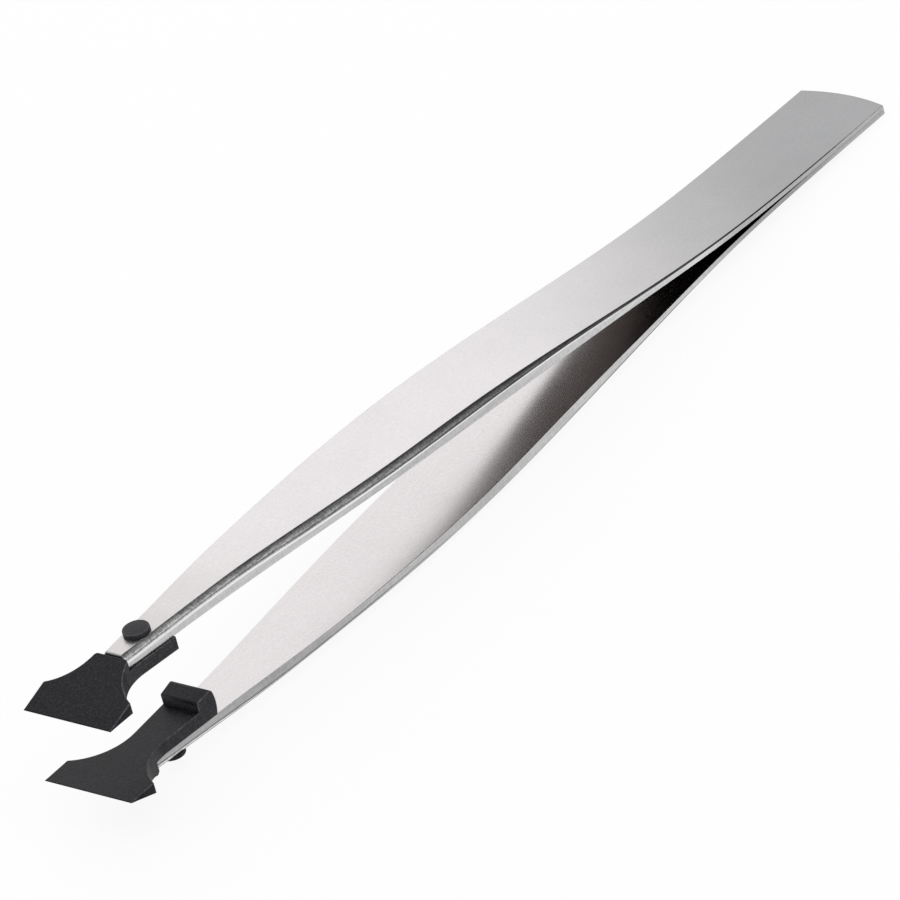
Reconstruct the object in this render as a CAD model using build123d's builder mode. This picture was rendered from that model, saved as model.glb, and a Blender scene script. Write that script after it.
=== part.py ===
from build123d import *
from collections import namedtuple
import math
import os

os.makedirs("parts", exist_ok=True)

# All sizes are in millimetres and angles in degrees.
# The tweezers are drawn about their mid-plane: x runs forward from the corners of the rear
# end, y across the arms, and height is measured outwards from the mid-plane.

# Main sizes of an arm: its curved part, and the straight front where a tip is seated
curved_length = 108.0
seat_length = 13.8
weld_length = 11.0
rear_bow = 0.72
end_chamfer = 0.16
end_corner_radius = 0.15

# Arm stations: marks that divide the curved part's length, with the section at each of them,
# and the section at the arm's front end
Station = namedtuple("Station", "x inner thickness half_width bevel_width bevel_height")
curve_marks = (0, 14, 28, 42, 56, 70, 84, 97, 108)
curve_sections = (
    (0.0, 0.53, 5.62, 0.08, 0.05),
    (0.02, 0.58, 5.70, 0.12, 0.10),
    (0.42, 0.67, 5.69, 0.14, 0.16),
    (1.58, 0.86, 5.66, 0.17, 0.27),
    (2.75, 1.42, 5.66, 0.36, 0.44),
    (3.95, 1.64, 5.79, 0.70, 0.67),
    (4.77, 1.60, 5.38, 0.74, 0.78),
    (5.30, 1.64, 4.30, 0.84, 0.76),
    (5.44, 1.75, 3.02, 0.69, 0.72),
)
end_section = (5.50, 1.47, 1.70, 0.68, 0.76)
arm_stations = [
    Station(curved_length * mark / curve_marks[-1], *section)
    for mark, section in zip(curve_marks, curve_sections)
]
arm_stations.append(Station(curved_length + seat_length, *end_section))

# Tips: their places are measured from the front end of the arm
blade_reach = 8.2
blade_gap = 8.42
blade_half_width = 5.84
blade_land = 0.12
neck_setback = 1.05
neck_half_width = 2.05
neck_radius = 6.2
tail_flare = 4.8
tail_thickness = 1.56
upper_tail_length = 6.5
lower_tail_length = 8.8
hood_gap = 0.15
hood_drop = 0.12
hood_corner_radius = 0.45

# Stop block on the lower tail: the tip's rear end is round when seen from the side
block_length = 2.12
block_height = 1.50
block_front_height = 1.10
block_front_radius = 0.20
block_rear_radius = 0.45
block_bulge = 0.25
block_foot = 0.40

# Stud that holds each tip in its arm, set back from the arm's front end
stud_setback = 3.9
stud_radius = 0.8
stud_clearance = 0.05
head_radius = 1.44
head_height = 0.62
head_clearance = 0.02
head_edge_radius = 0.12

# Room that the cutting and trimming bodies leave around the object
margin = 1.0
curve_samples = 400


def outer(station):
    """Height of the arm's outer face at a station."""
    return station.inner + station.thickness


rear, seat_start, seat_end = arm_stations[0], arm_stations[-2], arm_stations[-1]
clear_width = 2 * (blade_half_width + margin)
clear_height = 2 * (outer(seat_end) + margin)
front_edge = seat_end.x + blade_reach
neck_position = seat_end.x - neck_setback
upper_tail_end = seat_end.x - upper_tail_length
lower_tail_end = seat_end.x - lower_tail_length
block_rear = lower_tail_end - block_bulge
stud_position = seat_end.x - stud_setback
front_run = seat_end.x - seat_start.x
inner_slope = (seat_end.inner - seat_start.inner) / front_run
outer_slope = (outer(seat_end) - outer(seat_start)) / front_run


def inner_height(x):
    """Height of the straight front's inner face, also beyond the end of the arm."""
    return seat_end.inner + inner_slope * (x - seat_end.x)


def outer_height(x):
    """Height of the straight front's outer face, also beyond the end of the arm."""
    return outer(seat_end) + outer_slope * (x - seat_end.x)


# The arm's outer face from the side, behind its straight front
with BuildLine() as outer_curve:
    Spline([(s.x, outer(s)) for s in arm_stations[:-1]], tangents=[(1, 0), (1, outer_slope)])

# At rest the lower arm lies on its rear edge and its belly, which sets the tilt
rear_edge = (-rear_bow, rear.thickness)
curve_points = [outer_curve.edge() @ (i / curve_samples) for i in range(1, curve_samples + 1)]
rest_slope = max((p.Y - rear_edge[1]) / (p.X - rear_edge[0]) for p in curve_points)
rest_tilt = math.atan(rest_slope)
forward = Vector(math.cos(rest_tilt), 0, math.sin(rest_tilt))
outward = Vector(-math.sin(rest_tilt), 0, math.cos(rest_tilt))

# The origin is at the middle of the footprint, on the surface that the tweezers lie on
rearmost = forward * rear_edge[0] + outward * rear_edge[1]
lowest = forward * rear_edge[0] - outward * rear_edge[1]
foremost = forward * front_edge - outward * (blade_gap / 2 + blade_land)
start = Vector(-(rearmost.X + foremost.X) / 2, 0, -lowest.Z)
mid = Plane(origin=start, x_dir=forward, z_dir=outward)
side = Plane(origin=start, x_dir=forward, z_dir=-mid.y_dir)

# Arm seen from the side
with BuildSketch(side) as arm_side:
    with BuildLine():
        add(outer_curve.line)
        Polyline(
            (seat_start.x, outer(seat_start)),
            (seat_end.x - end_chamfer, outer_height(seat_end.x - end_chamfer)),
            (seat_end.x, outer(seat_end) - end_chamfer),
            (seat_end.x, seat_end.inner),
            (seat_start.x, seat_start.inner),
        )
        inner_points = [(s.x, s.inner) for s in arm_stations[1:-1]]
        Spline([(weld_length, 0), *inner_points], tangents=[(1, 0), (1, inner_slope)])
        Polyline(
            (weld_length, 0),
            (-margin, 0),
            (-margin, rear.thickness),
            (rear.x, rear.thickness),
        )
    make_face()

# Arm seen from above
with BuildSketch(mid) as arm_outline:
    with BuildLine():
        ThreePointArc((rear.x, rear.half_width), (-rear_bow, 0), (rear.x, -rear.half_width))
        Spline([(s.x, s.half_width) for s in arm_stations])
        Spline([(s.x, -s.half_width) for s in arm_stations])
        Line((seat_end.x, seat_end.half_width), (seat_end.x, -seat_end.half_width))
    make_face()
    fillet(arm_outline.vertices().sort_by(Axis.X)[-2:], radius=end_corner_radius)


def bevel_section(station, x, hand):
    """Section of the body that cuts the bevel along one long edge."""
    top = Vector(station.half_width - station.bevel_width, outer(station))
    bottom = Vector(station.half_width, outer(station) - station.bevel_height)
    reach = (top - bottom).normalized() * margin
    top += reach
    bottom -= reach
    corners = [top, bottom, Vector(bottom.X, top.Y)]
    plane = Plane(origin=mid.from_local_coords((x, 0, 0)), x_dir=mid.y_dir, z_dir=mid.x_dir)
    with BuildSketch(plane) as section:
        with BuildLine():
            Polyline([(hand * c.X, c.Y) for c in corners], close=True)
        make_face()
    return section.sketch


def stud_plane(height, slope):
    """Plane across the stud, on a face of the straight front and facing outwards."""
    return Plane(
        origin=mid.from_local_coords((stud_position, 0, height)),
        x_dir=forward + outward * slope,
        z_dir=outward - forward * slope,
    )


seat = stud_plane(inner_height(stud_position), inner_slope)
head_base = stud_plane(outer_height(stud_position) + head_clearance, outer_slope)
with BuildSketch(seat) as stud_hole:
    Circle(stud_radius + stud_clearance)

with BuildPart() as upper_arm:
    extrude(arm_side.sketch, amount=clear_width / 2, both=True)
    extrude(arm_outline.sketch, amount=clear_height, both=True, mode=Mode.INTERSECT)
    for hand in (1, -1):
        sections = [bevel_section(rear, -rear_bow - margin, hand)]
        sections += [bevel_section(s, s.x, hand) for s in arm_stations[1:-1]]
        sections += [bevel_section(seat_end, seat_end.x + margin, hand)]
        loft(sections, mode=Mode.SUBTRACT)
    extrude(stud_hole.sketch, amount=clear_height, both=True, mode=Mode.SUBTRACT)

with BuildPart() as lower_arm:
    mirror(upper_arm.part, about=mid)

# Tip seen from the side: blade, hood and the longer tail
hood_back = seat_end.x + hood_gap
tail_inner = inner_height(lower_tail_end) - tail_thickness
with BuildSketch(side) as tip_side:
    with BuildLine():
        Polyline(
            (front_edge, blade_gap / 2),
            (front_edge, blade_gap / 2 + blade_land),
            (hood_back, outer_height(hood_back) - hood_drop),
            (hood_back, inner_height(hood_back)),
            (lower_tail_end, inner_height(lower_tail_end)),
            (lower_tail_end, tail_inner),
            close=True,
        )
    make_face()

# Tip seen from above: straight blade sides, round necks and a flared tail
neck_centre = (neck_position, neck_half_width + neck_radius)
shoulder_drop = neck_centre[1] - blade_half_width
shoulder = neck_position + math.sqrt(neck_radius**2 - shoulder_drop**2)
shoulder_angle = -math.degrees(math.asin(shoulder_drop / neck_radius))
tail_angle = -90 - tail_flare
with BuildSketch(mid) as tip_outline:
    with BuildLine():
        Polyline((front_edge, 0), (front_edge, blade_half_width), (shoulder, blade_half_width))
        neck = CenterArc(neck_centre, neck_radius, shoulder_angle, tail_angle - shoulder_angle)
        tail_start = neck @ 1
        tail_run = tail_start.X - block_rear
        tail_half_width = tail_start.Y + tail_run * math.tan(math.radians(tail_flare))
        Polyline(tail_start, (block_rear, tail_half_width), (block_rear, 0))
        mirror(about=Plane.XZ)
    make_face()

# Stop block seen from the side: its top falls towards the front, and its rear end bulges
block_front = lower_tail_end + block_length
rear_top = (lower_tail_end, tail_inner - block_height)
rear_foot = (lower_tail_end, inner_height(lower_tail_end))
with BuildSketch(side) as block_side:
    with BuildLine():
        ThreePointArc(rear_foot, (block_rear, (rear_top[1] + rear_foot[1]) / 2), rear_top)
        Polyline(
            rear_top,
            (block_front, tail_inner - block_front_height),
            (block_front, tail_inner + block_foot),
            rear_foot,
        )
    make_face()
    fillet(block_side.vertices().sort_by(Axis.Y)[1], radius=block_front_radius)
    fillet(block_side.vertices().sort_by(Axis.Y)[0], radius=block_rear_radius)

# Stud and head, drawn on the seat
stud_length = head_base.origin.Z - seat.origin.Z + head_height / 2
with BuildSketch(seat) as stud_section:
    Circle(stud_radius)
with BuildSketch(head_base) as head_section:
    Circle(head_radius)

with BuildPart() as tip_blank:
    extrude(tip_side.sketch, amount=clear_width / 2, both=True)
    extrude(tip_outline.sketch, amount=clear_height, both=True, mode=Mode.INTERSECT)
    upright_edges = tip_blank.edges().filter_by(Axis(start, outward))
    hood_reach = (hood_back - hood_gap, hood_back + hood_gap)
    fillet(
        upright_edges.filter_by_position(Axis(start, forward), *hood_reach),
        radius=hood_corner_radius,
    )
    extrude(head_section.sketch, amount=head_height)
    round_edges = tip_blank.edges().filter_by(GeomType.CIRCLE)
    fillet(round_edges.group_by(Axis(start, outward))[-1], radius=head_edge_radius)
    extrude(stud_section.sketch, amount=stud_length)

with BuildPart() as upper_tip:
    add(tip_blank.part)
    tail_cut = Plane(origin=mid.from_local_coords((upper_tail_end, 0, 0)), z_dir=forward)
    split(bisect_by=tail_cut, keep=Keep.TOP)

with BuildPart() as block:
    extrude(block_side.sketch, amount=clear_width / 2, both=True)
    extrude(tip_outline.sketch, amount=clear_height, both=True, mode=Mode.INTERSECT)

with BuildPart() as lower_tip:
    mirror(tip_blank.part, about=mid)
    mirror(block.part, about=mid)

for name, node in (
    ("upper_arm", upper_arm),
    ("lower_arm", lower_arm),
    ("upper_tip", upper_tip),
    ("lower_tip", lower_tip),
):
    node.part.label = name
    export_step(node.part, f"parts/{name}.step")
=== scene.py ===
"""Anti-static tweezers: the finished look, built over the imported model.

Two ground steel arms, two black plastic tips and the round studs that hold them.
Sizes are given in millimetres about the mid-plane between the arms, and every mesh
is laid into the shared frame in metres.
"""
import logging
import math
from abc import ABC, abstractmethod
from dataclasses import dataclass
from enum import Enum
from typing import Any, Iterable

import bmesh
import bpy
import numpy as np
from bmesh.types import BMEdge, BMesh, BMFace, BMLayerItem, BMVert
from bpy.types import Material, Mesh, Node, NodeSocket, NodeTree, Object
from mathutils import Matrix, Vector


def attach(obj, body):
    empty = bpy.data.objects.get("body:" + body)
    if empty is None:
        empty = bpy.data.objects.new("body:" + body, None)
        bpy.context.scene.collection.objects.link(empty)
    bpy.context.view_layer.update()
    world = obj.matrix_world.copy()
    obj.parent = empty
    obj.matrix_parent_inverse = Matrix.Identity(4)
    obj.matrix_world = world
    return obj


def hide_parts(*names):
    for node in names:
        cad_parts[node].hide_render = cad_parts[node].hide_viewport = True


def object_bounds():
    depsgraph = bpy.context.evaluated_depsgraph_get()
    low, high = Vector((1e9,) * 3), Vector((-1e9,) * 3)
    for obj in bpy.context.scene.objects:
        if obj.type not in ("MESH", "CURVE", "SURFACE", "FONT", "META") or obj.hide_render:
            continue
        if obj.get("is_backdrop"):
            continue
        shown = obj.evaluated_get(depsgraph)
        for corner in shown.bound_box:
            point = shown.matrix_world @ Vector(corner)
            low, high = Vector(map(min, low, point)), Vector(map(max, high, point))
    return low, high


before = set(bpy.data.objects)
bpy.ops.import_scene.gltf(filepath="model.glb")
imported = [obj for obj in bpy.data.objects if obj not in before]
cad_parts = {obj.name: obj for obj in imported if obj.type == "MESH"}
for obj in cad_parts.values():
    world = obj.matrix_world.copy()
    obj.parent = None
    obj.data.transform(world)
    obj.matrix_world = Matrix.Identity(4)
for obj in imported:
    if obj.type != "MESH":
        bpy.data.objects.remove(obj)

log = logging.getLogger("tweezers")

Pair = tuple[float, float]
Point = tuple[float, float, float]
Colour = tuple[float, float, float, float]
Slopes = tuple[float | None, float | None]

MM = 0.001
WHITE: Colour = (1.0, 1.0, 1.0, 1.0)
STUD_POSITION = 117.9


class Hand(Enum):
    """Which side of the mid-plane a piece lies on."""

    UPPER = 1.0
    LOWER = -1.0

    @property
    def label(self) -> str:
        """Name of the side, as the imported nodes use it."""
        return self.name.lower()


class Zone(Enum):
    """Faces of a ground arm, kept as a face attribute for its finish."""

    UNDER = -1.0
    INNER = 0.0
    WALL = 1.0
    BEVEL = 2.0
    OUTER = 3.0
    END = 4.0

    @property
    def start(self) -> Pair:
        """Attribute values between which the zone takes over from the one before it."""
        return self.value - 0.6, self.value - 0.4


# Nodes


@dataclass(frozen=True)
class Grain:
    """Noise pattern, in cells for each millimetre."""

    scale: float
    detail: float = 2.0
    rough: float = 0.5
    stretch: Point = (1.0, 1.0, 1.0)


@dataclass
class Value:
    """A value socket that takes part in arithmetic and adds the Math nodes it needs."""

    sheet: "Sheet"
    socket: NodeSocket

    def __add__(self, other: "Value | float") -> "Value":
        """Sum."""
        return self.sheet.math("ADD", self, other)

    __radd__ = __add__

    def __sub__(self, other: "Value | float") -> "Value":
        """Difference."""
        return self.sheet.math("SUBTRACT", self, other)

    def __rsub__(self, other: float) -> "Value":
        """Difference from a number."""
        return self.sheet.math("SUBTRACT", other, self)

    def __mul__(self, other: "Value | float") -> "Value":
        """Product."""
        return self.sheet.math("MULTIPLY", self, other)

    __rmul__ = __mul__

    def __truediv__(self, other: "Value | float") -> "Value":
        """Quotient."""
        return self.sheet.math("DIVIDE", self, other)

    def centred(self) -> "Value":
        """A pattern between 0 and 1, moved to lie about 0."""
        return self - 0.5

    def pick(self, low: float, high: float) -> "Value":
        """Number that is low where this value is 0, and high where it is 1."""
        return self * (high - low) + low

    def band(self, low: float, high: float) -> "Value":
        """Smooth step from 0 at low to 1 at high.

        Args:
            low: value at which the step starts.
            high: value at which the step ends.

        Returns:
            The stepped value.
        """
        inputs = {"Value": self, "From Min": low, "From Max": high}
        node = self.sheet.node("ShaderNodeMapRange", inputs, interpolation_type="SMOOTHSTEP")
        return Value(self.sheet, node.outputs["Result"])


class Sheet:
    """A node tree with one method for any node and short forms for maths."""

    def __init__(self, tree: NodeTree) -> None:
        """Takes a shader or geometry node tree and empties it."""
        self.tree = tree
        tree.nodes.clear()

    def set(self, socket: NodeSocket, value: Any) -> None:
        """Links or sets one input socket.

        Args:
            socket: the input socket.
            value: a Value, a node, which gives its first output, a socket or a plain value.
        """
        if isinstance(value, Value):
            value = value.socket
        elif isinstance(value, Node):
            value = value.outputs[0]
        if isinstance(value, NodeSocket):
            self.tree.links.new(value, socket)
        else:
            socket.default_value = value

    def node(self, kind: str, inputs: dict[str | int, Any] | None = None, **settings: Any) -> Node:
        """Adds any node.

        Args:
            kind: the node's type name.
            inputs: values or links by socket name or number.
            settings: properties, set before the sockets.

        Returns:
            The new node.
        """
        made = self.tree.nodes.new(kind)
        for name, value in settings.items():
            setattr(made, name, value)
        for key, value in (inputs or {}).items():
            self.set(made.inputs[key], value)
        return made

    def math(self, operation: str, *values: "Value | float") -> Value:
        """Adds a Math node with these operands."""
        node = self.node("ShaderNodeMath", dict(enumerate(values)), operation=operation)
        return Value(self, node.outputs[0])

    def mix(self, factor: Value | float, low: Any, high: Any, blend: str = "MIX") -> Any:
        """Mixes two colours.

        Args:
            factor: share of the second colour.
            low: first colour.
            high: second colour.
            blend: how the two meet.

        Returns:
            The mixed colour's socket.
        """
        inputs = {"Factor": factor, 6: low, 7: high}
        node = self.node("ShaderNodeMix", inputs, data_type="RGBA", blend_type=blend)
        return node.outputs[2]

    def noise(self, grain: Grain, turn: Point = (0.0, 0.0, 0.0)) -> Value:
        """Adds noise that stays within 0 and 1.

        Args:
            grain: the pattern.
            turn: rotation of the pattern's space in radians.

        Returns:
            The noise value.
        """
        inputs = {"Scale": grain.scale, "Detail": grain.detail, "Roughness": grain.rough}
        inputs["Vector"] = self.object_mm(grain.stretch, turn)
        return Value(self, self.node("ShaderNodeTexNoise", inputs).outputs[0])

    def attribute(self, name: str) -> Value:
        """Reads one of the mesh's own number attributes."""
        node = self.node("ShaderNodeAttribute", attribute_name=name)
        return Value(self, node.outputs["Fac"])

    def object_mm(self, stretch: Point = (1.0, 1.0, 1.0), turn: Point = (0.0, 0.0, 0.0)) -> Any:
        """Object coordinates in millimetres.

        Args:
            stretch: stretch of the pattern's space along each axis.
            turn: rotation of the pattern's space in radians.

        Returns:
            The vector's socket.
        """
        inputs = {"Vector": self.node("ShaderNodeTexCoord").outputs["Object"], "Rotation": turn}
        turned = self.node("ShaderNodeMapping", inputs, vector_type="TEXTURE")
        inputs = {0: turned, 1: tuple(s / MM for s in stretch)}
        return self.node("ShaderNodeVectorMath", inputs, operation="MULTIPLY").outputs[0]


def grey(level: float) -> Colour:
    """Neutral colour of one level."""
    return (level, level, level, 1.0)


# Finishes


class Finish(ABC):
    """Named material whose nodes each kind of finish adds."""

    name: str

    def make(self) -> Material:
        """Builds the material.

        Returns:
            The material.
        """
        material = bpy.data.materials.new(self.name)
        material.use_nodes = True
        s = Sheet(material.node_tree)
        s.node("ShaderNodeOutputMaterial", {"Surface": self.surface(s)})
        return material

    @abstractmethod
    def surface(self, s: Sheet) -> Node:
        """Adds the finish's nodes to a sheet and gives its shader."""


def coat(s: Sheet, height: Value, bump: Pair, looks: dict[str, Any]) -> Node:
    """Adds the main shader over a bump of this strength and distance in millimetres."""
    inputs = {"Strength": bump[0], "Distance": bump[1] * MM, "Height": height}
    return s.node("ShaderNodeBsdfPrincipled", looks | {"Normal": s.node("ShaderNodeBump", inputs)})


@dataclass(frozen=True)
class Tone:
    """Colour along an arm, holding painted shade and reflection: the front's, and those it gives
    way to further back.
    """

    front: Colour
    behind: tuple[tuple[float, float, Colour], ...]

    def make(self, s: Sheet, along: Value) -> Any:
        """Adds the colour's nodes.

        Args:
            s: the material's helper.
            along: place along the arm.

        Returns:
            The colour's socket.
        """
        tone = self.front
        for start, end, rear in self.behind:
            tone = s.mix(along.band(start, end), rear, tone)
        return tone


@dataclass(frozen=True)
class Steel(Finish):
    """Satin ground stainless steel, read from the arms' own attributes, with painted shade, glints
    and reflections.

    Each pair of weights is for the faces outside and for an arm's inner face.
    """

    name: str = "satin_steel"
    tilt: float = 0.0
    # Painted shade and reflection: the outer face darkens towards the rear; it is lighter at the
    # front.
    outer: Tone = Tone(
        (0.545, 0.525, 0.522, 1.0),
        ((98.0, 120.0, (0.615, 0.592, 0.598, 1.0)), (10.0, 64.0, (0.303, 0.303, 0.309, 1.0))),
    )
    # Painted shade: the inner face turns dark brown towards the rear, where the arms close.
    inner: Tone = Tone((0.530, 0.508, 0.512, 1.0), ((20.0, 56.0, (0.360, 0.330, 0.318, 1.0)),))
    # Painted reflection and shade: the wall is lighter along the middle and darker at the rear.
    wall: Tone = Tone(
        (0.545, 0.541, 0.541, 1.0),
        ((30.0, 76.0, grey(0.690)), (22.0, 34.0, (0.455, 0.455, 0.460, 1.0))),
    )
    # Painted shade: the bevel is dark along most of the arm, lighter at the front and at the rear
    # end.
    bevel: Tone = Tone(
        WHITE,
        (
            (107.0, 115.0, (0.740, 0.740, 0.750, 1.0)),
            (38.0, 98.0, (0.124, 0.123, 0.139, 1.0)),
            (3.0, 15.0, (0.580, 0.580, 0.586, 1.0)),
        ),
    )
    # Painted shade: the upper arm's inner face, which is turned down, is painted dark brown.
    under: Colour = (0.120, 0.104, 0.097, 1.0)
    # Painted glints in white and painted shade lines in near black, laid by the arms' edge
    # attribute.
    edge: Colour = WHITE
    glint_cover: float = 0.9
    painted_shade: Colour = (0.040, 0.040, 0.042, 1.0)
    speckle: Grain = Grain(3.6, rough=0.6)
    cloud: Grain = Grain(0.16)
    drawn: Grain = Grain(3.4, rough=0.55, stretch=(0.04, 1.0, 1.0))
    ticks: Grain = Grain(4.5, detail=1.0, stretch=(1.0, 0.2, 0.25))
    speckle_contrast: Pair = (1.92, 1.344)
    drawn_contrast: float = 2.5
    inner_drawn: float = 0.12
    tick_contrast: float = 2.4
    tints: tuple[Colour, Colour] = (grey(0.856), grey(1.056))
    # Painted light: one side of the outer face is lighter than the other near the rear.
    painted_side_light: float = 0.07
    painted_side_light_reach: tuple[Pair, Pair] = ((4.0, 24.0), (44.0, 62.0))
    mark_tints: tuple[Colour, Colour] = (grey(0.62), grey(1.24))
    speckle_marks: Pair = (0.38, 0.62)
    drawn_marks: Pair = (0.35, 0.65)
    roughness: Pair = (0.38, 0.20)
    glint_roughness: float = 0.14
    soft_front: float = 0.045
    soft_reach: Pair = (54.0, 84.0)
    speckle_roughness: Pair = (0.16, 0.03)
    cloud_roughness: float = 0.08
    tick_roughness: float = 0.25
    speckle_height: Pair = (0.45, 0.03)
    drawn_height: Pair = (0.35, 0.09)
    tick_height: float = 1.2
    crown: float = 4.2
    bump: Pair = (0.20, 0.04)

    def surface(self, s: Sheet) -> Node:
        """Adds the steel's nodes.

        Args:
            s: the material's helper.

        Returns:
            The shader.
        """
        turn = (0.0, -self.tilt, 0.0)
        speckle, cloud, drawn, ticks = (
            s.noise(grain, turn) for grain in (self.speckle, self.cloud, self.drawn, self.ticks)
        )
        # The edge attribute: painted glints above 0, painted shade lines below 0.
        painted_light_weight, along, zone = (s.attribute(name) for name in ("edge", "along", "zone"))
        edge, painted_shade = s.math("MAXIMUM", painted_light_weight, 0.0), s.math("MAXIMUM", 0.0 - painted_light_weight, 0.0)
        inner = 1.0 - zone.band(*Zone.WALL.start)
        wall = zone.band(*Zone.WALL.start) - zone.band(*Zone.BEVEL.start)
        bevel = zone.band(*Zone.BEVEL.start) - zone.band(*Zone.OUTER.start)
        across = Value(s, s.node("ShaderNodeSeparateXYZ", {0: s.object_mm()}).outputs["Y"])

        # Painted shade on the turned-down inner face and towards the rear of the inner face.
        inward = s.mix(zone.band(*Zone.INNER.start), self.under, self.inner.make(s, along))
        tone = s.mix(inner, self.outer.make(s, along), inward)
        tone = s.mix(wall, tone, self.wall.make(s, along))
        tone = s.mix(bevel, tone, self.bevel.make(s, along))
        # Painted light: one side of the outer face lighter than the other.
        (rise, level), (fall, end) = self.painted_side_light_reach
        painted_side_light = across * (along.band(rise, level) - along.band(fall, end)) * self.painted_side_light
        pattern = speckle.centred() * inner.pick(*self.speckle_contrast) + 0.5
        pattern = pattern + wall * ticks.centred() * self.tick_contrast
        lined = wall + bevel + inner * self.inner_drawn
        pattern = pattern + lined * drawn.centred() * self.drawn_contrast
        pattern = pattern - painted_side_light * zone.band(*Zone.OUTER.start)
        tinted = s.mix(1.0, tone, s.mix(pattern, *self.tints), "MULTIPLY")
        marks = (speckle.band(*self.speckle_marks) + drawn.band(*self.drawn_marks)) * 0.5
        marked = s.mix(1.0, tinted, s.mix(marks, *self.mark_tints), "MULTIPLY")
        # Painted shade lines on the bevel, top edge, chamfer and lower wall.
        dark = s.mix(painted_shade, s.mix(bevel, tinted, marked), self.painted_shade)

        rough = (
            speckle.centred() * inner.pick(*self.speckle_roughness)
            + cloud.centred() * self.cloud_roughness
            + inner.pick(*self.roughness)
            + inner * along.band(*self.soft_reach) * self.soft_front
            + edge * (self.glint_roughness - self.roughness[0])
            + wall * ticks.centred() * self.tick_roughness
        )
        height = (
            speckle * inner.pick(*self.speckle_height)
            + drawn * inner.pick(*self.drawn_height)
            + wall * ticks * self.tick_height
            + inner * across * self.crown
        )
        # Painted glints on the edges.
        colour = s.mix(edge * self.glint_cover, dark, self.edge)
        looks = {"Base Color": colour, "Metallic": 1.0, "Roughness": rough}
        return coat(s, height, self.bump, looks)


@dataclass(frozen=True)
class Moulding(Finish):
    """Matte black static-dissipative plastic with a fine moulded grain."""

    name: str = "black_moulding"
    dark: Colour = (0.0006, 0.0005, 0.0010, 1.0)
    light: Colour = (0.0195, 0.0176, 0.0240, 1.0)
    # Colour of wear and of painted highlights on edges and side faces.
    wear_and_painted_light: Colour = (0.112, 0.110, 0.119, 1.0)
    fine: Grain = Grain(4.2, detail=3.0, rough=0.65)
    coarse: Grain = Grain(0.9)
    fleck_reach: Pair = (0.46, 0.62)
    patch_reach: Pair = (0.30, 0.70)
    tone_shares: Pair = (0.8, 0.2)
    scuff_and_glint_shares: Point = (0.36, 0.2, 0.30)
    roughness: float = 0.46
    roughness_shares: Pair = (0.25, 0.08)
    specular: float = 0.18
    specular_tint: Colour = (0.97, 0.94, 1.0, 1.0)
    coarse_height: float = 0.4
    bump: Pair = (0.40, 0.10)

    def surface(self, s: Sheet) -> Node:
        """Adds the plastic's nodes.

        Args:
            s: the material's helper.

        Returns:
            The shader.
        """
        fine, coarse = s.noise(self.fine), s.noise(self.coarse)
        flecks, patches = fine.band(*self.fleck_reach), coarse.band(*self.patch_reach)
        by_fleck, by_coarse = self.tone_shares
        tone = s.mix(flecks * by_fleck + coarse * by_coarse, self.dark, self.light)
        by_fleck, by_patch, everywhere = self.scuff_and_glint_shares
        # Real scuffs and painted highlights, where the tips and studs lay them.
        scuffs_and_glints = s.attribute("wear_and_painted_light") * (flecks * by_fleck + patches * by_patch + everywhere)
        by_fine, by_coarse = self.roughness_shares
        rough = self.roughness + fine.centred() * by_fine + coarse.centred() * by_coarse
        looks = {
            "Base Color": s.mix(scuffs_and_glints, tone, self.wear_and_painted_light),
            "Roughness": rough,
            "Specular IOR Level": self.specular,
            "Specular Tint": self.specular_tint,
        }
        return coat(s, fine + coarse * self.coarse_height, self.bump, looks)


@dataclass(frozen=True)
class PaleFloor(Finish):
    """White studio floor that is clear when looked at from below."""

    name: str = "studio_floor"
    colour: Colour = grey(0.94)
    glow: float = 0.90

    def surface(self, s: Sheet) -> Node:
        """Adds the floor's nodes.

        Args:
            s: the material's helper.

        Returns:
            The shader.
        """
        lit = s.node("ShaderNodeBsdfDiffuse", {"Color": self.colour})
        glow = s.node("ShaderNodeEmission", {"Color": WHITE, "Strength": 1.0})
        path = s.node("ShaderNodeLightPath").outputs
        seen = Value(s, path["Is Camera Ray"]) + Value(s, path["Is Glossy Ray"])
        seen = seen + Value(s, path["Is Transmission Ray"])
        white = s.node("ShaderNodeMixShader", {0: seen * self.glow, 1: lit, 2: glow})
        back = s.node("ShaderNodeNewGeometry").outputs["Backfacing"]
        clear = s.node("ShaderNodeBsdfTransparent")
        return s.node("ShaderNodeMixShader", {0: back, 1: white, 2: clear})


# Places and curves


@dataclass(frozen=True)
class Lay:
    """How the mid-plane lies in the shared frame."""

    start: Point = (-64.61064, 0.0, 0.5800661)
    tilt: float = math.radians(4.0953106)

    def direction(self, forward: float, outward: float) -> Vector:
        """Direction with these shares forward and out from the mid-plane."""
        along, up = math.cos(self.tilt), math.sin(self.tilt)
        return Vector((forward * along - outward * up, 0.0, forward * up + outward * along))

    def place(self, x: float, y: float, height: float) -> Vector:
        """Turns a place about the mid-plane into the shared frame.

        Args:
            x: distance forward from the rear corners.
            y: distance across.
            height: distance out from the mid-plane.

        Returns:
            The place in metres.
        """
        along, up = math.cos(self.tilt), math.sin(self.tilt)
        forward = self.start[0] + x * along - height * up
        above = self.start[2] + x * up + height * along
        return MM * Vector((forward, self.start[1] + y, above))

    def measure(self, point: Vector) -> Vector:
        """Turns a place in metres back into x, y and height about the mid-plane.

        Args:
            point: place in the shared frame.

        Returns:
            The place in millimetres about the mid-plane.
        """
        along, up = math.cos(self.tilt), math.sin(self.tilt)
        p = point / MM - Vector(self.start)
        return Vector((p.x * along + p.z * up, p.y, -p.x * up + p.z * along))


def ramp(x: float, low: float, high: float) -> float:
    """Smooth step from 0 at low to 1 at high."""
    t = min(max((x - low) / (high - low), 0.0), 1.0)
    return t * t * (3.0 - 2.0 * t)


@dataclass(frozen=True)
class Profile:
    """Number that changes along an arm in smooth steps of change, start and end."""

    rear: float
    steps: tuple[Point, ...]

    def at(self, x: float) -> float:
        """Number at a place along the arm."""
        return self.rear + sum(change * ramp(x, start, end) for change, start, end in self.steps)


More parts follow.
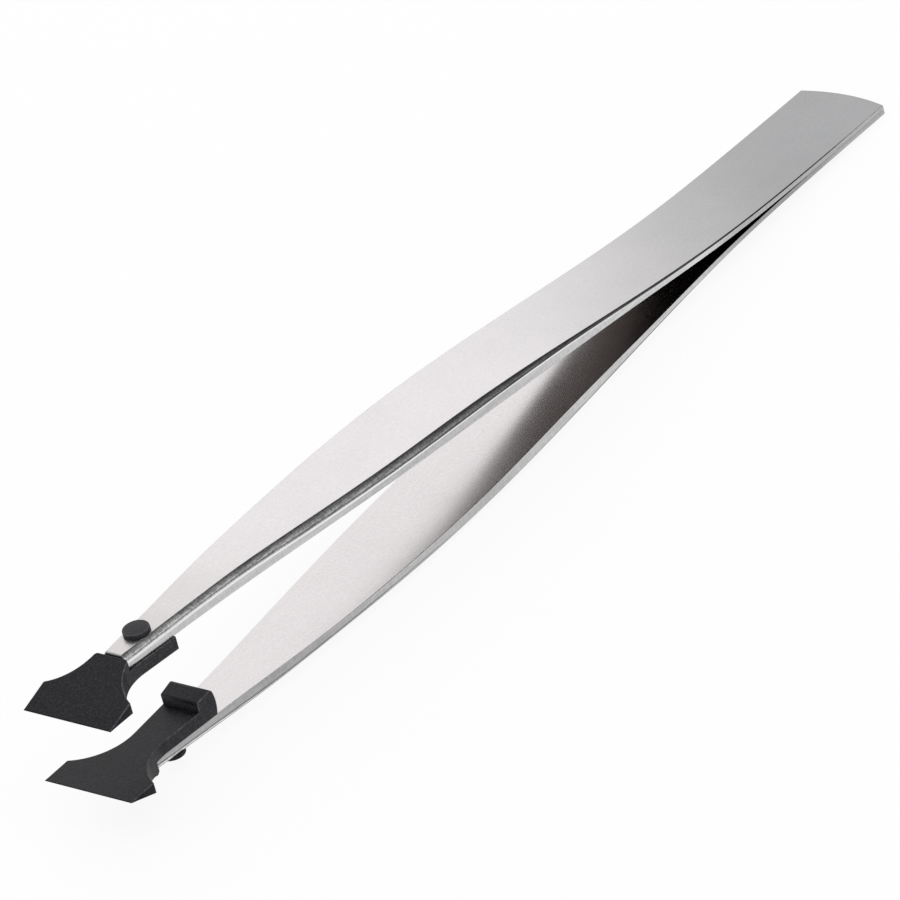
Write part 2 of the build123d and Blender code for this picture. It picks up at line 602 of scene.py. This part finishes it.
class Curve:
    """Smooth curve through stations, with given or free end slopes."""

    def __init__(self, xs: list[float], ys: list[float], slopes: Slopes = (None, None)) -> None:
        """Solves the cubic spline.

        Args:
            xs: rising places of the stations.
            ys: values there.
            slopes: end slopes, or None where the end is free.
        """
        self.xs, self.ys = np.array(xs, float), np.array(ys, float)
        n, h = len(xs), np.diff(self.xs)
        steps = np.diff(self.ys) / h
        a, b = np.zeros((n, n)), np.zeros(n)
        a[0, 0] = a[-1, -1] = 1.0
        for i in range(1, n - 1):
            a[i, i - 1 : i + 2] = h[i - 1], 2 * (h[i - 1] + h[i]), h[i]
            b[i] = 6 * (steps[i] - steps[i - 1])
        if slopes[0] is not None:
            a[0, :2], b[0] = (2 * h[0], h[0]), 6 * (steps[0] - slopes[0])
        if slopes[1] is not None:
            a[-1, -2:], b[-1] = (h[-1], 2 * h[-1]), 6 * (slopes[1] - steps[-1])
        self.bends = np.linalg.solve(a, b)

    def __call__(self, x: float) -> float:
        """Reads the curve.

        Args:
            x: the place, held within the curve's ends.

        Returns:
            The value there.
        """
        x = min(max(x, self.xs[0]), self.xs[-1])
        i = int(min(max(np.searchsorted(self.xs, x) - 1, 0), len(self.xs) - 2))
        h = self.xs[i + 1] - self.xs[i]
        p, q = (self.xs[i + 1] - x) / h, (x - self.xs[i]) / h
        curve = ((p**3 - p) * self.bends[i] + (q**3 - q) * self.bends[i + 1]) * h * h / 6
        return float(p * self.ys[i] + q * self.ys[i + 1] + curve)


# Pieces


@dataclass(frozen=True)
class Station:
    """Section of an arm at one place along it."""

    x: float
    inner: float
    thickness: float
    half_width: float
    bevel_width: float
    bevel_height: float

    @property
    def outer(self) -> float:
        """Height of the outer face."""
        return self.inner + self.thickness


STATIONS = (
    Station(0.0, 0.0, 0.53, 5.62, 0.08, 0.05),
    Station(14.0, 0.02, 0.58, 5.70, 0.12, 0.10),
    Station(28.0, 0.42, 0.67, 5.69, 0.14, 0.16),
    Station(42.0, 1.58, 0.86, 5.66, 0.17, 0.27),
    Station(56.0, 2.75, 1.42, 5.66, 0.36, 0.44),
    Station(70.0, 3.95, 1.64, 5.79, 0.70, 0.67),
    Station(84.0, 4.77, 1.60, 5.38, 0.74, 0.78),
    Station(97.0, 5.30, 1.64, 4.30, 0.84, 0.76),
    Station(108.0, 5.44, 1.75, 3.02, 0.69, 0.72),
    Station(121.8, 5.50, 1.47, 1.70, 0.68, 0.76),
)

# Weights of painted light on the wall and on its edge with the bevel: painted glint or lighter
# above 0, painted shade below it.
PAINTED_LIGHT = {
    Hand.UPPER: (
        Profile(0.0, ((0.12, 80.0, 98.0),)),
        Profile(0.3, ((0.7, 38.0, 60.0), (-0.25, 104.0, 118.0))),
    ),
    Hand.LOWER: (
        Profile(
            -0.24,
            ((0.12, 24.0, 36.0), (0.12, 38.0, 58.0), (-0.28, 84.0, 104.0), (0.07, 106.0, 116.0)),
        ),
        Profile(0.0, ((-0.85, 66.0, 92.0),)),
    ),
}


@dataclass
class SectionPoint:
    """One point of an arm's section, with its weight of painted glint or painted shade."""

    y: float
    height: float
    edge: float


@dataclass
class Arm:
    """One ground steel arm: a strip whose section changes along it."""

    hand: Hand
    lay: Lay
    stations: tuple[Station, ...] = STATIONS
    weld_length: float = 11.0
    rear_bow: float = 0.72
    bow_fade: float = 9.0
    end_round: float = 0.05
    end_chamfer: float = 0.16
    end_corner_radius: float = 0.15
    bevel_share: float = 0.6
    inner_round: float = 0.05
    bevel_round: Profile = Profile(0.10, ((0.10, 72.0, 100.0),))
    top_round: float = 0.05
    round_share: float = 0.42
    # Painted glints above 0 and painted shade below 0 on the arm's edges, bevel, top edge and
    # front chamfer.
    inner_glint: float = 0.25
    bevel_shades: tuple[Pair, ...] = (
        (0.03, -0.75),
        (0.10, -0.75),
        (0.16, 0.0),
        (0.32, -0.12),
        (0.50, -0.42),
        (0.70, -0.66),
        (0.86, -0.78),
        (0.99, -0.92),
    )
    top_shade: float = -0.92
    hood_shade: float = -0.9
    shading: Profile = Profile(0.0, ((1.0, 4.0, 16.0),))
    arc_points: int = 5
    span_points: int = 9
    support: float = 0.06
    ring_step: float = 0.8
    ring_margins: Point = (0.05, 0.1, 0.01)
    end_rings: int = 4
    corner_rings: int = 8
    hole_radius: float = 0.85
    cutter_height: float = 6.3
    cutter_depth: float = 6.0
    cutter_segments: int = 48

    def curves(self) -> dict[str, Curve]:
        """Curves of the arm's sizes along its length.

        Returns:
            The curves by name.
        """
        s = self.stations
        run = s[-1].x - s[-2].x
        inner_slope = (s[-1].inner - s[-2].inner) / run
        outer_slope = (s[-1].outer - s[-2].outer) / run
        xs = [a.x for a in s]
        inner_xs, inner = [self.weld_length, *xs[1:-1]], [0.0, *[a.inner for a in s[1:-1]]]
        free = ("half_width", "bevel_width", "bevel_height")
        return {
            "outer": Curve(xs[:-1], [a.outer for a in s[:-1]], (0.0, outer_slope)),
            "inner": Curve(inner_xs, inner, (0.0, inner_slope)),
            **{name: Curve(xs, [getattr(a, name) for a in s]) for name in free},
        }

    def front(self, x: float, low: float, high: float) -> float:
        """Straight line over the front, where the tip is seated."""
        a, b = self.stations[-2], self.stations[-1]
        return low + (high - low) * (x - a.x) / (b.x - a.x)

    def section(self, curves: dict[str, Curve], x: float, inset: float) -> list[SectionPoint]:
        """Half of the section, from the middle of the inner face to the middle of the outer one.

        Args:
            curves: the arm's curves.
            x: place along the arm.
            inset: how far the section is drawn in, for the rounded ends.

        Returns:
            The points in order.
        """
        seat, end = self.stations[-2], self.stations[-1]
        inner, outer = curves["inner"](x), curves["outer"](x)
        if x > seat.x:
            inner = self.front(x, seat.inner, end.inner)
            outer = self.front(x, seat.outer, end.outer)
        if x < self.weld_length:
            inner = 0.0
        width = curves["half_width"](x)
        rest = end.x - x
        if rest < self.end_corner_radius:
            reach = self.end_corner_radius - rest
            width -= self.end_corner_radius - math.sqrt(self.end_corner_radius**2 - reach**2)
        outer -= max(0.0, self.end_chamfer - rest)
        inner, outer, width = inner + inset, outer - inset, width - inset
        bevel_width = curves["bevel_width"](x)
        bevel_height = min(curves["bevel_height"](x), self.bevel_share * (outer - inner))
        brow, ridge = outer - bevel_height, width - bevel_width
        corners = ((0.0, inner), (width, inner), (width, brow), (ridge, outer), (0.0, outer))
        points = self.trace([Vector((*c, 0.0)) for c in corners], x)
        # Painted shade lines fade out towards the rear end.
        shading = self.shading.at(x)
        for point in points:
            point.edge = max(point.edge, 0.0) + min(point.edge, 0.0) * shading
        return points

    def trace(self, corners: list[Vector], x: float) -> list[SectionPoint]:
        """Rounds the inner corners of an open outline and divides its two long spans.

        Args:
            corners: the outline's corners.
            x: place along the arm, which gives the roundings and the weights of painted glint and
                shade.

        Returns:
            The section's points.
        """
        wall_light, bevel_edge_light = (weight.at(x) for weight in PAINTED_LIGHT[self.hand])
        rounds = (self.inner_round, self.bevel_round.at(x), self.top_round)
        arcs = []
        for i, (reach, glint) in enumerate(zip(rounds, (self.inner_glint, bevel_edge_light, 0.0))):
            back, here, on = corners[i : i + 3]
            limit = self.round_share * min((back - here).length, (on - here).length)
            first = here + (back - here).normalized() * min(reach, limit)
            last = here + (on - here).normalized() * min(reach, limit)
            arc = []
            for k in range(self.arc_points):
                t = k / (self.arc_points - 1)
                p = first * (1 - t) ** 2 + here * 2 * t * (1 - t) + last * t * t
                arc.append(SectionPoint(p.x, p.y, glint * math.sin(math.pi * t)))
            arcs.append(arc)
        # Painted light or shade on the wall, and painted shade along the top edge and across the
        # bevel.
        arcs[0][-1].edge = arcs[1][0].edge = wall_light
        for k, p in enumerate(arcs[2]):
            p.edge = self.top_shade * (1 - k / (self.arc_points - 1))
        low, high = arcs[1][-1], arcs[2][0]
        slope = []
        for share, edge in self.bevel_shades:
            y = low.y + (high.y - low.y) * share
            slope.append(SectionPoint(y, low.height + (high.height - low.height) * share, edge))
        count = self.span_points
        shares = [math.sin(math.pi / 2 * k / count) for k in range(count + 1)]
        into, out = (
            [SectionPoint((end.y - self.support) * share, end.height, 0.0) for share in shares]
            for end in (arcs[0][0], arcs[2][-1])
        )
        return [*into, *arcs[0], *arcs[1], *slope, *arcs[2], *reversed(out)]

    def zone_of(self, index: int) -> Zone:
        """Finds the face of the arm that the strip of mesh after a section point belongs to.

        Args:
            index: the point.

        Returns:
            The face.
        """
        first = self.span_points + self.arc_points // 2
        if index <= first:
            return Zone.INNER if self.hand is Hand.LOWER else Zone.UNDER
        if index <= first + self.arc_points:
            return Zone.WALL
        if index <= first + 2 * self.arc_points + len(self.bevel_shades):
            return Zone.BEVEL
        return Zone.OUTER

    def rings(self) -> list[Pair]:
        """Places along the arm and how far the section is drawn in there.

        Returns:
            Pairs of place and inset, from the rear to the front.
        """
        end, radius = self.stations[-1].x, self.end_corner_radius
        after_end, before_corner, before_front = self.ring_margins
        turn = [math.pi / 2 * k / self.end_rings for k in range(self.end_rings + 1)]
        ends = [(1 - math.cos(a), 1 - math.sin(a)) for a in turn]
        ends = [(self.end_round * x, self.end_round * inset) for x, inset in ends]
        corner = radius + before_corner
        count = int((end - corner - 2 * self.end_round) / self.ring_step)
        first = self.end_round + after_end
        middle = [(first + (end - corner - first) * k / count, 0.0) for k in range(count + 1)]
        turn = [math.pi / 2 * k / self.corner_rings for k in range(self.corner_rings - 1)]
        fine = [(end - radius * (1 - math.sin(a)), 0.0) for a in turn]
        front = [(end - x, inset) for x, inset in reversed(ends)]
        fine = [ring for ring in fine if ring[0] < front[0][0] - before_front]
        return [*ends, *middle, *fine, *front]

    def mesh(self, name: str) -> Mesh:
        """Builds the strip with its rounded edges.

        Args:
            name: the mesh's name.

        Returns:
            The mesh, with the attributes edge, along and zone.
        """
        curves = self.curves()
        bm = bmesh.new()
        painted_light_layer = bm.verts.layers.float.new("edge")
        along_layer = bm.verts.layers.float.new("along")
        zone_layer = bm.faces.layers.float.new("zone")
        rows: list[list[BMVert]] = []
        for x, inset in self.rings():
            half = self.section(curves, x, inset)
            width = max(p.y for p in half)
            fade = max(0.0, 1.0 - x / self.bow_fade) ** 2
            row = []
            for y, p in [(p.y, p) for p in half] + [(-p.y, p) for p in reversed(half[1:-1])]:
                shift = -self.rear_bow * (1 - (y / width) ** 2) * fade
                vert = bm.verts.new(self.lay.place(x + shift, y, p.height * self.hand.value))
                vert[painted_light_layer] = self.end_painted_light(x, p, half)
                vert[along_layer] = x
                row.append(vert)
            rows.append(row)
        count, half_count = len(rows[0]), len(rows[0]) // 2
        for a, b in zip(rows, rows[1:]):
            for i in range(count):
                j = (i + 1) % count
                face = bm.faces.new((a[i], a[j], b[j], b[i]))
                face[zone_layer] = self.zone_of(i if i < half_count else count - 1 - i).value
        for row in (rows[0], rows[-1]):
            self.cap(bm, row, half_count, zone_layer)
        bmesh.ops.recalc_face_normals(bm, faces=bm.faces)
        for face in bm.faces:
            face.smooth = True
        return to_mesh(bm, name)

    def end_painted_light(self, x: float, p: SectionPoint, half: list[SectionPoint]) -> float:
        """Painted light weight of a section point: painted shade darkens the front chamfer towards
        the hood.

        Args:
            x: place along the arm.
            p: the section point.
            half: the section it belongs to.

        Returns:
            Weight above 0 for a painted glint, and below 0 for painted shade.
        """
        rest = self.stations[-1].x - x
        middle = (half[0].height + half[-1].height) / 2
        if rest < self.end_chamfer and p.height > middle:
            return self.hood_shade if rest < self.end_chamfer / 2 else min(p.edge, 0.0)
        return p.edge

    def cap(self, bm: BMesh, row: list[BMVert], half_count: int, zone_layer: BMLayerItem) -> None:
        """Closes one end with quads between the inner and the outer face.

        Args:
            bm: the mesh being built.
            row: the end's ring.
            half_count: number of points from middle to middle.
            zone_layer: layer that takes the face's zone.
        """
        count, spans = len(row), self.span_points
        faces = []
        for side in (1, -1):
            inner = [row[(side * k) % count] for k in range(spans + 2)]
            outer = [row[(side * (half_count - k)) % count] for k in range(spans + 2)]
            for k in range(spans + 1):
                faces.append((inner[k], inner[k + 1], outer[k + 1], outer[k]))
            faces.append([row[(side * k) % count] for k in range(spans + 1, half_count - spans)])
        for corners in faces:
            face = bm.faces.new(corners)
            face[zone_layer] = Zone.END.value

    def build(self, finish: Material) -> Object:
        """Makes the arm, bores the stud's hole and dresses it.

        Args:
            finish: the steel.

        Returns:
            The finished piece.
        """
        name = f"{self.hand.label}_arm_strip"
        piece = add_object(name, self.mesh(name), finish)
        cutter = self.cutter()
        hole = piece.modifiers.new("hole", "BOOLEAN")
        hole.operation, hole.solver, hole.object = "DIFFERENCE", "EXACT", cutter
        settle(piece)
        bpy.data.objects.remove(cutter)
        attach(piece, "root")
        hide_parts(f"{self.hand.label}_arm")
        return piece

    def cutter(self) -> Object:
        """Round body that bores the stud's hole.

        Returns:
            The cutter.
        """
        bm = bmesh.new()
        radius, depth = self.hole_radius * MM, self.cutter_depth * MM
        sizes = {"radius1": radius, "radius2": radius, "depth": depth}
        bmesh.ops.create_cone(bm, cap_ends=True, segments=self.cutter_segments, **sizes)
        middle = self.lay.place(STUD_POSITION, 0.0, self.cutter_height * self.hand.value)
        bm.transform(Matrix.Translation(middle) @ Matrix.Rotation(-self.lay.tilt, 4, "Y"))
        return add_object("cutter", to_mesh(bm, "cutter"), None)


@dataclass
class Tip:
    """One moulded plastic tip without its stud, with every edge softly broken."""

    hand: Hand
    lay: Lay
    edge_width: float = 0.10
    edge_segments: int = 2
    # Wear and painted highlight on the broken edges and the brow; painted light on the side faces.
    edge_wear_and_glint: float = 1.1
    brow_width: float = 0.34
    brow_segments: int = 4
    brow_reach: Pair = (121.8, 122.36)
    brow_height: float = 6.7
    brow_wear_and_glint: float = 0.22
    side_painted_light: float = 0.30
    side_facing: float = 0.9
    side_reach: float = 123.0
    cutting_edge: float = 129.5
    sharp: float = math.radians(24)
    flat: float = math.radians(0.6)
    weld_distance: float = 0.001
    stud_reach: float = 1.75
    seat: float = 5.4

    def mesh(self, name: str) -> Mesh:
        """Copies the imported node, takes its stud off and breaks its edges.

        Args:
            name: the mesh's name.

        Returns:
            The mesh, with the attribute worn.
        """
        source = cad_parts[f"{self.hand.label}_tip"]
        bm = bmesh.new()
        bm.from_mesh(source.data)
        bmesh.ops.remove_doubles(bm, verts=bm.verts, dist=self.weld_distance * MM)
        stud = [v for v in bm.verts if self.on_stud(v.co)]
        bmesh.ops.delete(bm, geom=stud, context="VERTS")
        bmesh.ops.holes_fill(bm, edges=[e for e in bm.edges if e.is_boundary])
        bmesh.ops.dissolve_limit(bm, angle_limit=self.flat, verts=bm.verts, edges=bm.edges)
        bmesh.ops.recalc_face_normals(bm, faces=bm.faces)
        wear_and_painted_light = bm.faces.layers.float.new("wear_and_painted_light")
        brow = [e for e in bm.edges if e.is_manifold and self.on_brow(e)]
        rounded = self.soften(bm, brow, self.brow_width, self.brow_segments)
        for face in rounded:
            face[wear_and_painted_light] = self.brow_wear_and_glint
        met = {v for face in rounded for v in face.verts}
        sharp = [
            e
            for e in bm.edges
            if e.is_manifold
            and e.is_convex
            and e.calc_face_angle() > self.sharp
            and min(self.lay.measure(v.co).x for v in e.verts) < self.cutting_edge
            and not met.intersection(e.verts)
        ]
        for face in self.soften(bm, sharp, self.edge_width, self.edge_segments):
            face[wear_and_painted_light] = self.edge_wear_and_glint
        for face in bm.faces:
            face.smooth = True
            x = self.lay.measure(face.calc_center_median()).x
            # Painted light: faces turned across are lightened.
            if abs(face.normal.y) > self.side_facing and x < self.side_reach:
                face[wear_and_painted_light] = max(face[wear_and_painted_light], self.side_painted_light)
        return to_mesh(bm, name)

    def soften(self, bm: BMesh, edges: list[BMEdge], width: float, segments: int) -> list[BMFace]:
        """Rounds edges over this width from each, and gives the rounding's faces."""
        reach = {"offset": width * MM, "segments": segments, "profile": 0.5, "affect": "EDGES"}
        return bmesh.ops.bevel(bm, geom=edges, clamp_overlap=False, **reach)["faces"]

    def on_brow(self, edge: BMEdge) -> bool:
        """Tells the lower hood's back edge, between its upright and its outer face.

        Args:
            edge: the edge.

        Returns:
            Whether it is that edge.
        """
        low, high = self.brow_reach
        places = [self.lay.measure(v.co) for v in edge.verts]
        inside = all(low < p.x < high and -p.z > self.brow_height for p in places)
        return self.hand is Hand.LOWER and inside

    def on_stud(self, point: Vector) -> bool:
        """Tells the points of the stud and its head.

        Args:
            point: place in the shared frame.

        Returns:
            Whether it is on the stud.
        """
        p = self.lay.measure(point)
        off = math.hypot(p.x - STUD_POSITION, p.y)
        return off < self.stud_reach and p.z * self.hand.value > self.seat

    def build(self, finish: Material) -> Object:
        """Makes the tip and dresses it.

        Args:
            finish: the plastic.

        Returns:
            The finished piece.
        """
        name = f"{self.hand.label}_tip_blade"
        piece = add_object(name, self.mesh(name), finish)
        piece.modifiers.new("even_faces", "WEIGHTED_NORMAL").keep_sharp = True
        settle(piece)
        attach(piece, "root")
        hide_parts(f"{self.hand.label}_tip")
        return piece


@dataclass
class Stud:
    """Round stud with a flat head, turned by a node tree from its named sizes."""

    hand: Hand
    lay: Lay
    shank_radius: float = 0.8
    head_radius: float = 1.44
    head_height: float = 0.62
    edge_radius: float = 0.16
    seat: float = 5.483
    head_base: float = 7.052
    lean: float = -0.0159
    # Wear and painted sheen all over the head, with wear and a painted glint on its rim.
    wear_and_sheen: float = 0.15
    edge_wear_and_glint: float = 1.0
    segments: int = 96
    edge_points: int = 6
    weld_distance: float = 0.0001

    def sizes(self) -> dict[str, float]:
        """The tree's named inputs."""
        return {
            "Shank radius": self.shank_radius * MM,
            "Shank length": (self.head_base - self.seat) * MM,
            "Head radius": self.head_radius * MM,
            "Head height": self.head_height * MM,
            "Edge radius": self.edge_radius * MM,
        }

    def tree(self, finish: Material) -> NodeTree:
        """Builds the tree that turns the stud's outline about its axis.

        Args:
            finish: material set on the result.

        Returns:
            The node tree.
        """
        tree = bpy.data.node_groups.new("turned_stud", "GeometryNodeTree")
        sockets = [("Geometry", "INPUT", "NodeSocketGeometry")]
        sockets += [(name, "INPUT", "NodeSocketFloat") for name in self.sizes()]
        sockets += [("Segments", "INPUT", "NodeSocketInt")]
        sockets += [("Geometry", "OUTPUT", "NodeSocketGeometry")]
        for name, way, kind in sockets:
            tree.interface.new_socket(name, in_out=way, socket_type=kind)
        s = Sheet(tree)
        given = s.node("NodeGroupInput").outputs
        outline = self.outline(s, given)
        size = s.node("GeometryNodeAttributeDomainSize", {0: outline}, component="CURVE")
        segments = Value(s, given["Segments"])
        around = segments + 1.0
        points = size.outputs["Point Count"]
        grid = s.node("GeometryNodeMeshGrid", {"Vertices X": points, "Vertices Y": around})
        index = Value(s, s.node("GeometryNodeInputIndex").outputs[0])
        row = s.math("FLOOR", (index + 0.5) / around)
        turn = (index - row * around) * (2 * math.pi) / segments
        place = s.node("GeometryNodeInputPosition")
        inputs = {"Geometry": outline, "Value": place, "Index": row}
        sampled = s.node("GeometryNodeSampleIndex", inputs, data_type="FLOAT_VECTOR")
        parts = s.node("ShaderNodeSeparateXYZ", {0: sampled}).outputs
        reach, height = Value(s, parts["X"]), Value(s, parts["Z"])
        x, y = reach * s.math("COSINE", turn), reach * s.math("SINE", turn)
        turned = s.node("ShaderNodeCombineXYZ", {"X": x, "Y": y, "Z": height})
        shaped = s.node("GeometryNodeSetPosition", {"Geometry": grid, "Position": turned})
        edge = Value(s, given["Edge radius"])
        rim = Value(s, given["Head radius"]) - edge
        brow = Value(s, given["Shank length"]) + Value(s, given["Head height"]) - edge
        # Rim: wear and painted glint; elsewhere wear and painted sheen.
        on_edge = s.math("GREATER_THAN", reach, rim) * s.math("GREATER_THAN", height, brow)
        wear_and_painted_light = on_edge.pick(self.wear_and_sheen, self.edge_wear_and_glint)
        inputs = {"Geometry": shaped, "Name": "wear_and_painted_light", "Value": wear_and_painted_light}
        made = s.node("GeometryNodeStoreNamedAttribute", inputs, data_type="FLOAT", domain="POINT")
        for kind, inputs in (
            ("MergeByDistance", {"Distance": self.weld_distance * MM}),
            ("SetShadeSmooth", {}),
            ("RealizeInstances", {}),
            ("SetMaterial", {"Material": finish}),
        ):
            made = s.node(f"GeometryNode{kind}", {"Geometry": made, **inputs})
        s.node("NodeGroupOutput", {"Geometry": made})
        return tree

    def outline(self, s: Sheet, given: Any) -> Node:
        """Adds the stud's outline, from the end of the shank to the middle of the head.

        Args:
            s: the tree's helper.
            given: the tree's inputs.

        Returns:
            Node of the rounded outline.
        """
        shank, head = given["Shank radius"], given["Head radius"]
        base = Value(s, given["Shank length"])
        top = base + Value(s, given["Head height"])
        corners = ((0.0, 0.0), (shank, 0.0), (shank, base), (head, base), (head, top), (0.0, top))
        line = s.node("GeometryNodeCurvePrimitiveLine", mode="POINTS")
        inputs = {"Curve": line, "Count": len(corners)}
        divided = s.node("GeometryNodeResampleCurve", inputs, mode="COUNT")
        index = s.node("GeometryNodeInputIndex").outputs[0]
        pick = s.node("GeometryNodeIndexSwitch", data_type="VECTOR")
        while len(pick.index_switch_items) < len(corners):
            pick.index_switch_items.new()
        s.set(pick.inputs["Index"], index)
        for i, (across, up) in enumerate(corners):
            point = s.node("ShaderNodeCombineXYZ", {"X": across, "Z": up})
            s.set(pick.inputs[1 + i], point)
        shaped = s.node("GeometryNodeSetPosition", {"Geometry": divided, "Position": pick})
        rim = s.math("COMPARE", Value(s, index), len(corners) - 2.0, 0.5)
        radius = rim * Value(s, given["Edge radius"])
        inputs = {"Curve": shaped, "Count": self.edge_points, "Radius": radius}
        return s.node("GeometryNodeFilletCurve", inputs, mode="POLY")

    def build(self, finish: Material) -> Object:
        """Turns the stud, lays it in its arm and dresses it.

        Args:
            finish: the plastic.

        Returns:
            The finished piece.
        """
        name = f"{self.hand.label}_stud"
        piece = add_object(name, bpy.data.meshes.new(name), finish)
        maker = piece.modifiers.new("turned", "NODES")
        maker.node_group = self.tree(finish)
        items = maker.node_group.interface.items_tree
        given = {item.name: item.identifier for item in items if item.in_out == "INPUT"}
        for key, size in self.sizes().items():
            maker[given[key]] = size
        maker[given["Segments"]] = self.segments
        settle(piece)
        lean = math.atan(self.lean)
        axis = self.lay.direction(-math.sin(lean), self.hand.value * math.cos(lean))
        across = Vector((0.0, 1.0, 0.0))
        turn = Matrix((across.cross(axis), across, axis)).transposed().to_4x4()
        seat = self.lay.place(STUD_POSITION, 0.0, self.seat * self.hand.value)
        bm = bmesh.new()
        bm.from_mesh(piece.data)
        bm.transform(Matrix.Translation(seat) @ turn)
        bmesh.ops.recalc_face_normals(bm, faces=bm.faces)
        if bm.calc_volume(signed=True) < 0.0:
            bmesh.ops.reverse_faces(bm, faces=bm.faces)
        bm.to_mesh(piece.data)
        bm.free()
        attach(piece, "root")
        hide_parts(f"{self.hand.label}_tip")
        return piece


# Studio


@dataclass
class Softbox:
    """One soft rectangular lamp that only light rays and reflections see."""

    name: str
    place: Point
    target: Point
    size: Pair
    radiance: float

    def build(self) -> None:
        """Makes the lamp."""
        data = bpy.data.lights.new(self.name, "AREA")
        data.shape, data.size, data.size_y = "RECTANGLE", *self.size
        data.energy = self.radiance * math.pi * self.size[0] * self.size[1]
        lamp = bpy.data.objects.new(self.name, data)
        bpy.context.scene.collection.objects.link(lamp)
        lamp.location = self.place
        aim = Vector(self.target) - Vector(self.place)
        lamp.rotation_mode = "QUATERNION"
        lamp.rotation_quaternion = aim.to_track_quat("-Z", "Y")
        lamp.visible_camera = False


@dataclass
class Studio:
    """Camera, pale floor, lamps and surroundings."""

    camera_place: Point = (0.5359168, 0.5919135, 0.5140653)
    camera_right: Point = (-0.5903515, 0.7610062, -0.2689884)
    camera_up: Point = (-0.5793218, -0.1674463, 0.7977142)
    lens: float = 366.916
    sensor: float = 36.0
    clip: Pair = (0.05, 40.0)
    floor_size: float = 12.0
    softboxes: tuple[Softbox, ...] = (
        Softbox("key", (-0.34, -0.38, 0.29), (0.02, 0.0, 0.01), (0.46, 0.40), 0.85),
        Softbox("top", (0.20, 0.20, 1.1), (0.0, 0.0, 0.0), (1.2, 1.2), 0.9),
    )
    level: float = 0.70
    overhead: float = 0.10
    overhead_reach: Pair = (0.55, 0.95)
    dimming: float = 0.66
    dim_way: Point = (-0.80, 0.36, 0.55)
    dim_reach: Pair = (0.80, 0.97)
    horizon: float = 0.45
    horizon_reach: Pair = (0.04, 0.22)

    def camera(self) -> None:
        """Sets the camera at the photograph's place and angle."""
        data = bpy.data.cameras.new("camera")
        data.lens, data.sensor_width = self.lens, self.sensor
        data.clip_start, data.clip_end = self.clip
        camera = bpy.data.objects.new("camera", data)
        bpy.context.scene.collection.objects.link(camera)
        right, up = Vector(self.camera_right), Vector(self.camera_up)
        turn = Matrix((right, up, right.cross(up))).transposed().to_4x4()
        camera.matrix_world = Matrix.Translation(self.camera_place) @ turn
        bpy.context.scene.camera = camera

    def floor(self) -> None:
        """Lays the floor that the tweezers rest on."""
        half = self.floor_size / 2
        mesh = bpy.data.meshes.new("floor")
        corners = [(-half, -half, 0.0), (half, -half, 0.0), (half, half, 0.0), (-half, half, 0.0)]
        mesh.from_pydata(corners, [], [(0, 1, 2, 3)])
        floor = add_object("floor", mesh, PaleFloor().make())
        floor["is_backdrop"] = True

    def surroundings(self) -> None:
        """Lights the room: pale all round, brighter overhead and low down, dim behind."""
        world = bpy.data.worlds.new("studio")
        bpy.context.scene.world = world
        world.use_nodes = True
        s = Sheet(world.node_tree)
        way = s.node("ShaderNodeTexCoord").outputs["Generated"]
        height = Value(s, s.node("ShaderNodeSeparateXYZ", {0: way}).outputs["Z"])
        aim = tuple(Vector(self.dim_way).normalized())
        toward = s.node("ShaderNodeVectorMath", {0: way, 1: aim}, operation="DOT_PRODUCT")
        dim = Value(s, toward.outputs["Value"]).band(*self.dim_reach) * self.dimming
        level = self.level + height.band(*self.overhead_reach) * self.overhead
        low = (1.0 - height.band(*self.horizon_reach)) * self.horizon
        strength = level * (1.0 - dim) + low
        back = s.node("ShaderNodeBackground", {"Color": WHITE, "Strength": strength})
        s.node("ShaderNodeOutputWorld", {"Surface": back})

    def build(self) -> None:
        """Makes the whole studio."""
        self.camera()
        self.floor()
        self.surroundings()
        for lamp in self.softboxes:
            lamp.build()
        bpy.context.scene.view_settings.view_transform = "Standard"


# Scene helpers


def to_mesh(bm: BMesh, name: str) -> Mesh:
    """Turns a mesh under construction into a finished one, and frees it.

    Args:
        bm: the mesh.
        name: the finished mesh's name.

    Returns:
        The finished mesh.
    """
    mesh = bpy.data.meshes.new(name)
    bm.to_mesh(mesh)
    bm.free()
    return mesh


def add_object(name: str, mesh: Mesh, finish: Material | None) -> Object:
    """Links a mesh as an object at the origin.

    Args:
        name: the object's name.
        mesh: its mesh.
        finish: its material, if it has one.

    Returns:
        The object.
    """
    made = bpy.data.objects.new(name, mesh)
    bpy.context.scene.collection.objects.link(made)
    if finish is not None:
        mesh.materials.clear()
        mesh.materials.append(finish)
    return made


def settle(piece: Object) -> None:
    """Turns a piece's modifiers into plain mesh.

    Args:
        piece: the piece.
    """
    bpy.context.view_layer.update()
    graph = bpy.context.evaluated_depsgraph_get()
    mesh = bpy.data.meshes.new_from_object(piece.evaluated_get(graph))
    piece.modifiers.clear()
    piece.data = mesh


def span(box: Iterable[Vector]) -> list[list[float]]:
    """A box's two corners as plain lists."""
    return [[float(c) for c in corner] for corner in box]


def main(cad_box: list[list[float]]) -> None:
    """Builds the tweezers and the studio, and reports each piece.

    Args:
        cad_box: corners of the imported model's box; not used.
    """
    lay = Lay()
    Studio().build()
    steel = Steel(tilt=lay.tilt).make()
    plastic = Moulding().make()
    for hand in Hand:
        for kind, finish in ((Arm, steel), (Tip, plastic), (Stud, plastic)):
            piece = kind(hand, lay).build(finish)
            log.info("%s: %d faces, %s", piece.name, len(piece.data.polygons), finish.name)


if __name__ == "__main__":
    logging.basicConfig(level=logging.INFO)
    main(span(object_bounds()))
